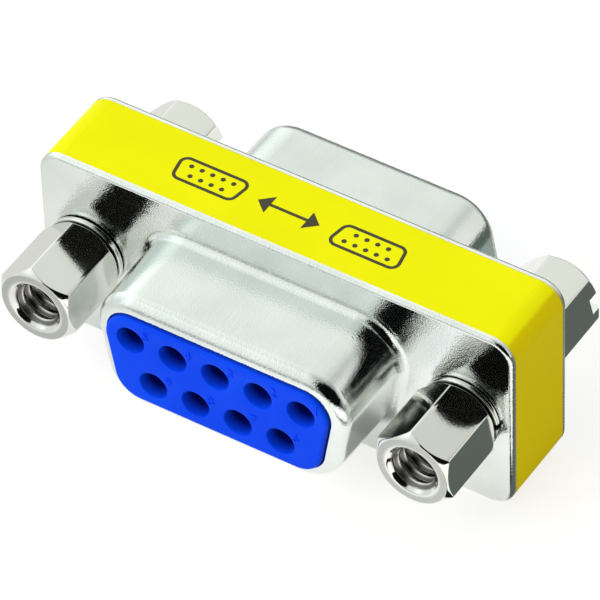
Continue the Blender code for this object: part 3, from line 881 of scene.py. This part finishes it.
def bright_nickel():
    """Bright plated bar: lengthwise drawing marks, turned rings on the duller end faces.

    Inside the bore it is rougher, and the thread's roots have painted shade.
    """
    made, tree, shader, coords = start_material("bright_nickel")
    place_at = coords.outputs["Object"]
    x, _, z = split_axes(tree, place_at)
    across = node(tree, "ShaderNodeCombineXYZ", {0: x, 1: 0.0, 2: z}).outputs[0]
    reach = node(tree, "ShaderNodeVectorMath", {0: across}, operation="LENGTH").outputs["Value"]
    values = {"W": calc(tree, "MULTIPLY", reach, 9000.0), "Detail": 2.0}
    rings = node(tree, "ShaderNodeTexNoise", values, noise_dimensions="1D").outputs["Fac"]
    facing = calc(tree, "ABSOLUTE", split_axes(tree, coords.outputs["Normal"])[1])
    on_end = spread(tree, facing, 0.95, 0.99, 0.0, 1.0)
    lines = noise(tree, stretched(tree, place_at, (5000.0, 260.0, 5000.0)), 1.0, 3.0)
    slow = noise(tree, place_at, 380.0, 1.0)
    specks = noise(tree, place_at, 10000.0, 1.0)
    stain = noise(tree, place_at, 340.0, 4.0)
    end_tone = blend_colors(tree, stain, *NICKEL_END)
    tone = blend_colors(tree, on_end, blend_colors(tree, stain, *NICKEL), end_tone)
    # Painted shade in the thread's roots, inside the bore
    thread_shade = spread(tree, reach, *THREAD_SHADE_RAMP, 0.0, 0.85)
    in_bore = spread(tree, reach, *BORE_ENDS, 1.0, 0.0)
    tone = blend_colors(tree, calc(tree, "MULTIPLY", thread_shade, in_bore), tone, NICKEL_THREAD_SHADE)
    rough = spread(tree, calc(tree, "ADD", specks, stain), 0.75, 1.3, 0.05, 0.13)
    rough = calc(tree, "ADD", rough, calc(tree, "MULTIPLY", on_end, 0.14))
    rough = calc(tree, "ADD", rough, calc(tree, "MULTIPLY", in_bore, 0.22))
    normal = bump(tree, slow, 9.0e-6)
    normal = bump(tree, lines, 0.5e-6, normal)
    normal = bump(tree, specks, 1.6e-6, normal)
    normal = bump(tree, calc(tree, "MULTIPLY", rings, on_end), 1.4e-6, normal)
    values = {"Base Color": tone, "Metallic": 1.0, "Roughness": rough, "Normal": normal}
    set_inputs(tree, shader, values)
    return made


def moulding(name, tones, gloss, deep=None, end=None):
    """Moulded plastic: slow colour drift, satin patches and a fine moulded pebble.

    With a deep colour it turns to that down the sockets, and with an end colour it takes that on
    its right end: both are painted shade.
    """
    made, tree, shader, coords = start_material(name)
    place_at = coords.outputs["Object"]
    drift = noise(tree, place_at, 180.0, 3.0)
    patches = noise(tree, place_at, 900.0, 3.0)
    fine = noise(tree, place_at, 6000.0, 2.0)
    flow = noise(tree, place_at, 220.0, 1.0)
    tone = blend_colors(tree, contrast(tree, drift), *tones)
    # Painted shade: the colour darkens down the sockets, where little light reaches
    if deep:
        begins, ends = SOCKET_SHADE_DEPTHS
        along = split_axes(tree, place_at)[1]
        socket_shade = spread(tree, along, FACE + begins, FACE + ends, 0.0, 1.0)
        tone = blend_colors(tree, socket_shade, tone, deep)
    # Painted shade on faces that look right
    if end:
        facing = split_axes(tree, coords.outputs["Normal"])[0]
        tone = blend_colors(tree, spread(tree, facing, 0.57, 0.7, 0.0, 1.0), tone, end)
    rough = spread(tree, patches, 0.35, 0.65, 0.34, 0.44)
    normal = bump(tree, flow, 6.0e-6)
    normal = bump(tree, fine, 0.8e-6, normal)
    values = {"Base Color": tone, "Roughness": rough, "Normal": normal}
    values["Specular IOR Level"] = gloss
    set_inputs(tree, shader, values)
    return made


def gilt_contact():
    """Thin gold flash over drawn copper alloy, with turning marks round it."""
    made, tree, shader, coords = start_material("gilt_contact")
    place_at = coords.outputs["Object"]
    marks = noise(tree, stretched(tree, place_at, (300.0, 9000.0, 300.0)), 1.0, 2.0)
    stain = noise(tree, place_at, 700.0, 3.0)
    tone = blend_colors(tree, stain, *GILT)
    rough = spread(tree, stain, 0.3, 0.7, 0.2, 0.34)
    values = {"Base Color": tone, "Metallic": 1.0, "Roughness": rough}
    values["Normal"] = bump(tree, marks, 1.0e-6)
    set_inputs(tree, shader, values)
    return made


def board_material():
    """Green solder mask over glass cloth: the weave shows faintly as relief and tone."""
    made, tree, shader, coords = start_material("green_board")
    place_at = coords.outputs["Object"]
    values = {"Vector": place_at, "Scale": 260.0}
    threads = [
        node(tree, "ShaderNodeTexWave", values, bands_direction=axis).outputs["Fac"]
        for axis in ("X", "Z")
    ]
    weave = calc(tree, "MULTIPLY", *threads)
    drift = noise(tree, place_at, 500.0, 3.0)
    drift_share = calc(tree, "MULTIPLY", drift, 0.6)
    mixed = calc(tree, "ADD", calc(tree, "MULTIPLY", weave, 0.4), drift_share)
    tone = blend_colors(tree, mixed, *BOARD)
    rough = spread(tree, drift, 0.3, 0.7, 0.25, 0.4)
    values = {"Base Color": tone, "Roughness": rough, "Normal": bump(tree, weave, 3.0e-6)}
    set_inputs(tree, shader, values)
    return made


def ink_material():
    """Pad-printed ink, slightly patchy."""
    made, tree, shader, coords = start_material("printed_ink")
    place_at = coords.outputs["Object"]
    patch = noise(tree, place_at, 2600.0, 4.0)
    tone = blend_colors(tree, patch, *INK)
    rough = spread(tree, patch, 0.3, 0.7, 0.42, 0.6)
    values = {"Base Color": tone, "Roughness": rough, "Normal": bump(tree, patch, 1.5e-6)}
    set_inputs(tree, shader, values)
    return made


def glowing(tree, tone, share, strength):
    """A grey that is lit and shaded by a share only, and glows for the rest."""
    lit = calc(tree, "MULTIPLY", tone, share)
    dim = node(tree, "ShaderNodeBsdfDiffuse", {"Color": lit}).outputs[0]
    glow = calc(tree, "MULTIPLY", tone, strength)
    glow = node(tree, "ShaderNodeEmission", {"Strength": glow}).outputs[0]
    return node(tree, "ShaderNodeAddShader", {0: dim, 1: glow}).outputs[0]


def mirrored_shade(tree, x, y):
    """How light the floor is in reflections: most at the right, less beside the D shell."""
    slope = spread(tree, x, *FLOOR_SLOPE)
    across = spread(tree, x, SHADE_RIGHT - SHADE_SOFT, SHADE_RIGHT, 1.0, 0.0)
    inner = spread(tree, x, SHADE_LEFT - SHADE_SOFT, SHADE_LEFT, 0.0, 1.0)
    front = spread(tree, y, SHADE_FRONT - SHADE_SOFT, SHADE_FRONT, 0.0, SHADE_DEPTH)
    shade = calc(tree, "MULTIPLY", calc(tree, "MULTIPLY", across, inner), front)
    away = calc(tree, "ADD", y, calc(tree, "MULTIPLY", x, FLOOR_BACK_SLANT))
    far = spread(tree, away, FLOOR_BACK, FLOOR_BACK_END, 1.0, FLOOR_BACK_TONE)
    slope = calc(tree, "MULTIPLY", slope, far)
    return calc(tree, "MULTIPLY", slope, calc(tree, "SUBTRACT", 1.0, shade))


def past(tree, value, edge, before=0.0, after=1.0):
    """One number before an edge of the painted dark reflection and another past it, soft between.
    """
    return spread(tree, value, edge, edge + DARK_REFLECTION_SOFT, before, after)


def mirrored_card(tree, x, y):
    """The colour of the painted dark reflection at the floor's right, and a mask of where it lies.
    """
    middle = past(tree, y, DARK_REFLECTION_NEAR)
    left_x, right_x, near_y = GREY_REFLECTION_BACK
    back = past(tree, y, near_y)
    for side in (past(tree, x, left_x), past(tree, x, right_x, 1.0, 0.0)):
        back = calc(tree, "MULTIPLY", back, side)
    color = blend_colors(tree, middle, DARK_REFLECTION_NEAR_COLOR, DARK_REFLECTION_COLOR)
    color = blend_colors(tree, back, color, GREY_REFLECTION_COLOR)
    spot = past(tree, x, SPOT_RIGHT, 1.0, 0.0)
    mask = calc(tree, "MULTIPLY", past(tree, x, DARK_REFLECTION_FROM), calc(tree, "MAXIMUM", middle, spot))
    return color, calc(tree, "MAXIMUM", mask, back)


def floor_material():
    """White paper. Seen directly it glows a little, so that it is white but for the shadow.

    In reflections it has painted shade beside the D shell and at the back, and its right part is
    painted dark with a grey part behind: painted reflections for the faces of the posts and shells.
    """
    made = bpy.data.materials.new("floor")
    made.use_nodes = True
    tree = made.node_tree
    tree.nodes.remove(tree.nodes["Principled BSDF"])
    paper = noise(tree, node(tree, "ShaderNodeTexCoord").outputs["Object"], 1500.0)
    tone = blend_colors(tree, paper, *PAPER)
    plain = node(tree, "ShaderNodeBsdfDiffuse", {"Color": tone}).outputs[0]
    x, y, _ = split_axes(tree, node(tree, "ShaderNodeNewGeometry").outputs["Position"])
    white = glowing(tree, 1.0, *FLOOR_SEEN)
    mirrored = glowing(tree, mirrored_shade(tree, x, y), *FLOOR_MIRRORED)
    # Painted dark reflection: a dark patch on the floor that only reflections show
    dark_reflection_color, on_dark_reflection = mirrored_card(tree, x, y)
    dark_reflection = node(tree, "ShaderNodeEmission", {"Color": dark_reflection_color}).outputs[0]
    mirrored = mix_shaders(tree, on_dark_reflection, mirrored, dark_reflection)
    path = node(tree, "ShaderNodeLightPath").outputs
    shown = mix_shaders(tree, path["Is Glossy Ray"], white, mirrored)
    seen = calc(tree, "MAXIMUM", path["Is Camera Ray"], path["Is Glossy Ray"])
    seen = calc(tree, "MAXIMUM", seen, path["Is Transmission Ray"])
    mixed = mix_shaders(tree, seen, plain, shown)
    tree.links.new(mixed, tree.nodes["Material Output"].inputs["Surface"])
    return made


def build_floor():
    """The floor, which belongs to the stage and not to the adapter."""
    bm = bmesh.new()
    reach = FLOOR_REACH
    for z in (0.0, -FLOOR_THICKNESS):
        corners = ((-reach, -reach), (reach, -reach), (reach, reach), (-reach, reach))
        bm.faces.new([bm.verts.new((x, y, z)) for x, y in corners])
    mesh = bpy.data.meshes.new("floor")
    bm.to_mesh(mesh)
    bm.free()
    mesh.materials.append(floor_material())
    obj = bpy.data.objects.new("floor", mesh)
    bpy.context.scene.collection.objects.link(obj)


def cone_mask(tree, way, direction, inner, outer):
    """1 near the direction, 0 away from it, soft between."""
    axis = Vector(direction).normalized()
    dot = node(tree, "ShaderNodeVectorMath", {0: way, 1: tuple(axis)}, operation="DOT_PRODUCT")
    values = {
        0: dot.outputs["Value"],
        1: math.cos(math.radians(outer)),
        2: math.cos(math.radians(inner)),
        3: 0.0,
        4: 1.0,
    }
    mask = node(tree, "ShaderNodeMapRange", values, interpolation_type="SMOOTHSTEP")
    return mask.outputs[0]


def scaled(tree, color, factor):
    """A colour of the studio's light times a factor."""
    values = {0: color, "Scale": factor}
    return node(tree, "ShaderNodeVectorMath", values, operation="SCALE").outputs[0]


def build_world():
    """Soft studio: panels above the back and at the left, dark flags, white to the camera."""
    world = bpy.data.worlds.new("studio")
    world.use_nodes = True
    bpy.context.scene.world = world
    tree = world.node_tree
    way = node(tree, "ShaderNodeTexCoord").outputs["Generated"]
    color = node(tree, "ShaderNodeRGB").outputs[0]
    color.default_value = (*BASE_LIGHT, 1.0)
    for direction, inner, outer, tint in PANELS:
        glow = scaled(tree, tint, cone_mask(tree, way, direction, inner, outer))
        color = node(tree, "ShaderNodeVectorMath", {0: color, 1: glow}, operation="ADD").outputs[0]
    for direction, inner, outer, depth in FLAGS:
        mask = cone_mask(tree, way, direction, inner, outer)
        left = calc(tree, "SUBTRACT", 1.0, calc(tree, "MULTIPLY", mask, depth))
        color = scaled(tree, color, left)
    lit = tree.nodes["Background"]
    tree.links.new(color, lit.inputs["Color"])
    white = node(tree, "ShaderNodeBackground", {"Color": (1.0, 1.0, 1.0)}).outputs[0]
    to_camera = node(tree, "ShaderNodeLightPath").outputs["Is Camera Ray"]
    mixed = mix_shaders(tree, to_camera, lit.outputs[0], white)
    tree.links.new(mixed, tree.nodes["World Output"].inputs["Surface"])


def build_lamps():
    """Large soft lamps. A strength of 1 lights a surface that faces the lamp to its own colour."""
    for direction, strength, tint in LAMPS:
        lamp = bpy.data.lights.new("soft_lamp", "AREA")
        lamp.size = LAMP_SIZE
        lamp.color = tint
        lamp.energy = strength * (math.pi * LAMP_DISTANCE) ** 2
        obj = bpy.data.objects.new("soft_lamp", lamp)
        bpy.context.scene.collection.objects.link(obj)
        way = Vector(direction).normalized()
        obj.location = way * LAMP_DISTANCE
        obj.rotation_euler = way.to_track_quat("Z", "Y").to_euler()
        obj.visible_glossy = False


def build_camera():
    """The photograph's camera."""
    camera = bpy.data.cameras.new("camera")
    camera.sensor_width = SENSOR
    camera.lens = CAMERA_LENS
    camera.clip_start, camera.clip_end = CLIP
    obj = bpy.data.objects.new("camera", camera)
    bpy.context.scene.collection.objects.link(obj)
    axes = [Vector(axis) for axis in (CAMERA_RIGHT, CAMERA_UP, CAMERA_BACK)]
    matrix = Matrix(axes).transposed().to_4x4()
    matrix.translation = CAMERA_AT
    obj.matrix_world = matrix
    bpy.context.scene.camera = obj


def dress(node_name, look):
    """A CAD node that stays as it is, in a better material."""
    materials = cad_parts[node_name].data.materials
    materials.clear()
    materials.append(look)


def build_halves(halves, sheet_looks, blue):
    """Both connectors: drawn shell, insulator and contacts."""
    shell = shell_mesh()
    insulator = insulator_mesh()
    contact = contact_mesh()
    gilt = gilt_contact()
    for side, half in halves.items():
        name = f"{side}_drawn_shell"
        place(name, shell, sheet_looks, half, f"{side}_shell")
        name = f"{side}_insulator_moulding"
        place(name, insulator, (blue,), half, f"{side}_insulator")
        for number, (x, z) in enumerate(contact_places(), 1):
            name = f"{side}_socket_contact_{number}"
            matrix = half @ Matrix.Translation((x, 0.0, z))
            place(name, contact, (gilt,), matrix, f"{side}_contact_{number}")
        dress(f"{side}_insulator_back", blue)


def build_posts(halves):
    """Posts and washers. Each turns as a mesh, so that its bounding box stays tight."""
    nut = jack_nut_mesh()
    screw = jack_screw_mesh()
    washer = washer_mesh()
    nickel = bright_nickel()
    for side, x in (("left", -SCREW_X), ("right", SCREW_X)):
        for half, name, mesh, y, turn in (
            ("front", "lock_washer", washer, SCREW_SEAT, WASHER_TURNS[side]),
            ("front", "jack_nut", nut, NUT_SEAT, NUT_TURNS[side]),
            ("rear", "jack_screw", screw, SCREW_SEAT, SCREW_TURNS[side]),
        ):
            turned = mesh.copy()
            turned.transform(Matrix.Rotation(-turn, 4, "Y"))
            matrix = halves[half] @ Matrix.Translation((x + POSTS_ASIDE[half], y, 0.0))
            cad = f"{half}_{side}_{name}"
            place(f"{half}_{side}_plated_{name}", turned, (nickel,), matrix, cad)


def build_pieces():
    """Every piece of the visual model, in its place round the CAD frame."""
    steel = plated_steel("plated_steel", STEEL, roughs=(0.05, 0.09), grain=10.0e-6, waves=26.0e-6)
    cut_edge = plated_steel(
        "sheared_edge",
        CUT_EDGE,
        roughs=(0.24, 0.38),
        grain=5.0e-6,
        waves=6.0e-6,
        metal=0.5,
        end=CUT_EDGE_SHADED_END,
    )
    blue = moulding("blue_moulding", BLUE, gloss=0.05, deep=BLUE_SOCKET_SHADE)
    yellow = moulding("yellow_moulding", YELLOW, gloss=0.03, end=YELLOW_SHADED_END)
    middle = Matrix.Translation((0.0, 0.0, FLANGE_HEIGHT / 2))
    halves = {"front": middle, "rear": middle @ Matrix.Rotation(math.pi, 4, "X")}
    build_halves(halves, (steel, cut_edge), blue)
    place("spacer_moulding", spacer_mesh(), (yellow,), middle, "spacer")
    dress("circuit_board", board_material())
    top = Matrix.Translation((*SYMBOL_AT, FLANGE_HEIGHT))
    place("spacer_printed_symbol", symbol_mesh(), (ink_material(),), top)
    build_posts(halves)


bpy.context.scene.view_settings.view_transform = "Standard"
build_camera()
build_floor()
build_world()
build_lamps()
build_pieces()
